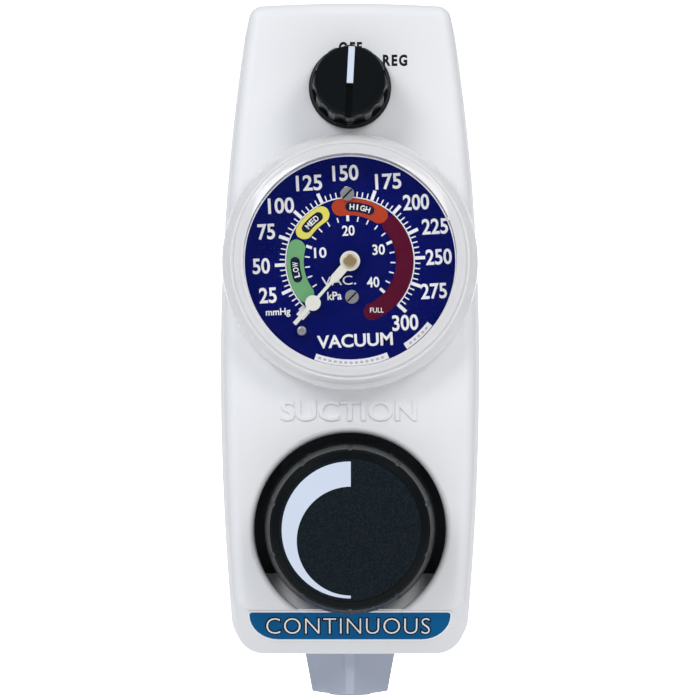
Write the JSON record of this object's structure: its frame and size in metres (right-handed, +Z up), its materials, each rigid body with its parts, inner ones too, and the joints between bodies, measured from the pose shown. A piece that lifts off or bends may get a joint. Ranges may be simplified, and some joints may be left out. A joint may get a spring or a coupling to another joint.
{
  "type": "suction regulator",
  "caption": "Wall-mounted continuous vacuum regulator with a round gauge, an off and regulate selector, a large regulating knob and a ribbed outlet fitting underneath.",
  "frame": {"origin": "centre of the inlet port's mouth at the back, level with the gauge axis", "axes": "+Y out of the inlet port towards the wall, so the front faces -Y; +Z up along the housing; +X to the right seen from the front"},
  "size_m": [0.0726, 0.0665, 0.1871],
  "materials": {
    "cover_white": "satin moulded white plastic",
    "aluminium": "milled and anodised",
    "steel": "turned",
    "label_blue": "printed blue with a white edge",
    "brass": "turned",
    "nickelled_brass": "satin nickel plate",
    "seal_rubber": "black nitrile",
    "sintered_bronze": "porous sintered",
    "outlet_grey": "satin moulded grey plastic",
    "case_white": "white moulded plastic",
    "lens_clear": "clear moulded polycarbonate",
    "dial_blue": "screen printed dark blue",
    "hand_ivory": "matt ivory paint",
    "knob_black": "black phenolic, glossy on the flutes",
    "knob_matte": "black, fine grained",
    "inlay_white": "white fill",
    "diaphragm_rubber": "fabric reinforced rubber",
    "spring_steel": "spring wire"
  },
  "bodies": {
    "housing": {"front_cover": "cover_white", "back_plate": "aluminium", "back_plate_screws": "steel", "mode_label": "label_blue", "manifold_block": "aluminium", "manifold_screws": "steel", "inlet_fitting": "nickelled_brass", "inlet_o_ring": "seal_rubber", "inlet_filter": "sintered_bronze", "outlet_nipple": "brass", "outlet_gasket": "seal_rubber", "outlet_adapter": "outlet_grey", "gauge_case": "case_white", "gauge_case_screws": "steel", "gauge_gasket": "seal_rubber", "gauge_lens": "lens_clear", "gauge_dial": "dial_blue", "dial_screws": "steel", "pointer_stop_pin": "steel", "gauge_socket": "brass", "bourdon_tube": "brass", "bourdon_tip": "brass", "movement_plates": "brass", "movement_pillars": "brass", "hairspring": "spring_steel", "selector_body": "aluminium", "selector_stop_pin": "steel", "selector_cap": "aluminium", "diaphragm": "diaphragm_rubber", "valve_seat": "brass", "poppet_spring": "spring_steel", "regulator_bonnet": "aluminium", "bonnet_screws": "steel", "thrust_washer": "steel", "range_spring": "spring_steel"},
    "sector": {"sector_gear": "brass", "link_pin": "steel", "sector_shaft": "steel"},
    "link": {"gauge_link": "brass"},
    "pointer": {"pointer_spindle": "steel", "gauge_pointer": "hand_ivory", "pointer_cap": "brass"},
    "selector": {"selector_rotor": "brass", "selector_o_rings": "seal_rubber", "selector_knob": "knob_black", "selector_set_screw": "steel", "selector_line": "inlay_white"},
    "regulating": {"adjusting_screw": "steel", "knob_crescent": "inlay_white", "knob_face_plate": "knob_matte", "regulating_knob": "knob_black", "knob_set_screw": "steel"},
    "nut": {"spring_nut": "brass"},
    "valve": {"diaphragm_plate": "aluminium", "poppet": "steel"}
  },
  "joints": [
    {"name": "sector_swing", "type": "hinge", "parent": "housing", "child": "sector", "pos_m": [0, 0, -0.0175], "axis": [0, 1, 0], "range_deg": [-45, 0], "stiffness_Nm_per_rad": 0.003, "springref_deg": 22.92, "deforming": ["hairspring", "bourdon_tube"]},
    {"name": "link_swing", "type": "hinge", "parent": "sector", "child": "link", "pos_m": [-0.00172, 0, -0.02166], "axis": [0, 1, 0], "range_deg": [0, 45]},
    {"name": "pointer_turn", "type": "hinge", "parent": "housing", "child": "pointer", "pos_m": [0, 0, 0], "axis": [0, 1, 0], "range_deg": [0, 270]},
    {"name": "selector_turn", "type": "hinge", "parent": "housing", "child": "selector", "pos_m": [0, 0, 0.0464], "axis": [0, 1, 0], "range_deg": [0, 60]},
    {"name": "knob_turn", "type": "hinge", "parent": "housing", "child": "regulating", "pos_m": [0, 0, -0.0706], "axis": [0, 1, 0], "range_deg": [0, 900]},
    {"name": "nut_slide", "type": "slide", "parent": "housing", "child": "nut", "axis": [0, 1, 0], "range_m": [0, 0.00376], "deforming": ["range_spring"]},
    {"name": "valve_lift", "type": "slide", "parent": "housing", "child": "valve", "axis": [0, 1, 0], "range_m": [0, 0.0008], "stiffness_N_per_m": 800, "springref_m": -0.001, "deforming": ["diaphragm", "poppet_spring"]}
  ],
  "couplings": [
    {"joint": "pointer_turn", "follows": "sector_swing", "ratio": -6},
    {"joint": "link_swing", "follows": "sector_swing", "ratio": -1},
    {"joint": "nut_slide", "follows": "knob_turn", "m_per_rad": 0.00023873}
  ]
}
